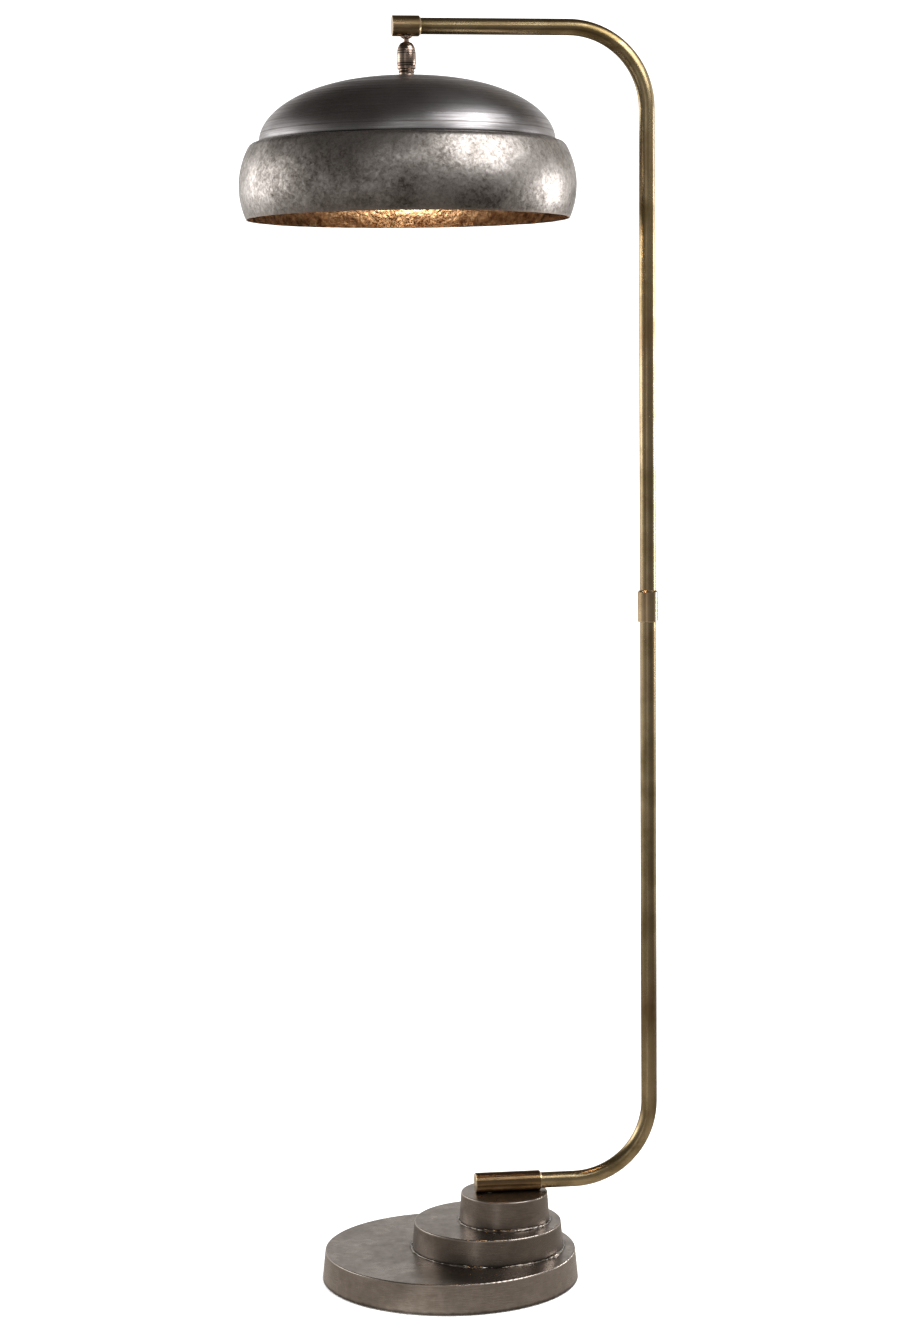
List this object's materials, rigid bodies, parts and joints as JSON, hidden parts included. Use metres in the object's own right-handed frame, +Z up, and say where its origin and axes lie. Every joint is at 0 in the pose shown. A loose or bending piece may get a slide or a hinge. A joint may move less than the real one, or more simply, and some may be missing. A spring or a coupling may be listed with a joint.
{
  "type": "pharmacy floor lamp",
  "caption": "Floor lamp with a stacked off-centre round base, a bent two-piece stem with a swivel collar, and a wide hammered metal shade on a ball swivel.",
  "frame": {"origin": "centre of the large disc, on the floor under the felt", "axes": "+Z up; +X from the discs towards the upright stem, with the shade hanging back over the discs; the wire inlet is on the +Y side, the back"},
  "size_m": [0.4874, 0.3894, 1.4845],
  "materials": {
    "base_casting": "brushed pewter plate, horizontal scratches",
    "steel": "zinc plated",
    "ballast_iron": "as cast",
    "cover_steel": "black paint",
    "felt": "pressed felt",
    "black_rubber": "moulded",
    "aged_brass": "dark antique patina, satin",
    "swivel_brass": "light antique patina, satin",
    "bright_brass": "lacquered",
    "nylon": "natural",
    "lead_jacket": "flexible jacket",
    "pewter": "spun, ring-brushed dark grey outside, copper gold inside",
    "hammered_pewter": "hammered grey outside, copper gold inside",
    "card": "insulating liner",
    "porcelain": "unglazed",
    "aluminium": "rolled thread",
    "black_glass": "black glass insulator",
    "solder": "solder bead",
    "bulb_glass": "soft white inside coating",
    "black_knob": "moulded"
  },
  "bodies": {
    "base": {"base_disc_large": "base_casting", "base_disc_middle": "base_casting", "base_disc_small": "base_casting", "middle_disc_bolts": "steel", "small_disc_bolts": "steel", "ballast_plate": "ballast_iron", "ballast_screws": "steel", "bottom_cover": "cover_steel", "cover_screws": "steel", "felt_pad": "felt", "inlet_grommet": "black_rubber", "tie_tube": "steel", "tie_nut": "steel", "tie_washer": "steel", "base_sleeve": "aged_brass", "sleeve_set_screw": "steel", "lower_tube": "aged_brass", "swivel_collar": "aged_brass", "thrust_washer": "nylon", "stop_screw": "steel", "lead_lower": "lead_jacket"},
    "arm": {"arm_ferrule": "aged_brass", "upper_tube": "aged_brass", "end_block": "aged_brass", "block_set_screw": "steel", "lead_upper": "lead_jacket"},
    "ball_stud": {"ball_stud": "bright_brass"},
    "ball_seat": {"ball_seat": "nylon"},
    "shade": {"swivel_cap": "swivel_brass", "seat_spring": "steel", "swivel_barrel": "swivel_brass", "swivel_foot": "swivel_brass", "shade_nipple": "steel", "shade_dome": "pewter", "shade_band": "hammered_pewter", "shade_washer": "steel", "shade_nut": "steel", "holder_cap": "bright_brass", "holder_shell": "bright_brass", "holder_liner": "card", "holder_core": "porcelain", "screw_shell": "bright_brass", "centre_contact": "bright_brass", "bulb_cap": "aluminium", "bulb_insulator": "black_glass", "bulb_contact": "solder", "bulb_glass": "bulb_glass", "lead_shade": "lead_jacket"},
    "switch_knob": {"switch_knob": "black_knob", "switch_shaft": "steel"}
  },
  "joints": [
    {"name": "arm_swivel", "type": "hinge", "parent": "base", "child": "arm", "pos_m": [0.2425, 0, 0.7955], "axis": [0, 0, 1], "range_deg": [-160, 160]},
    {"name": "stem_spin", "type": "hinge", "parent": "arm", "child": "ball_stud", "pos_m": [-0.0382, 0, 1.4472], "axis": [0, 0, 1], "range_deg": [-180, 180]},
    {"name": "ball_tilt", "type": "hinge", "parent": "ball_stud", "child": "ball_seat", "pos_m": [-0.0382, 0, 1.4472], "axis": [0, 1, 0], "range_deg": [-20, 20]},
    {"name": "shade_spin", "type": "hinge", "parent": "ball_seat", "child": "shade", "pos_m": [-0.0382, 0, 1.4472], "axis": [0, 0, 1], "continuous": true},
    {"name": "switch_turn", "type": "hinge", "parent": "shade", "child": "switch_knob", "pos_m": [-0.0382, -0.0175, 1.3831], "axis": [0, 1, 0], "continuous": true}
  ]
}
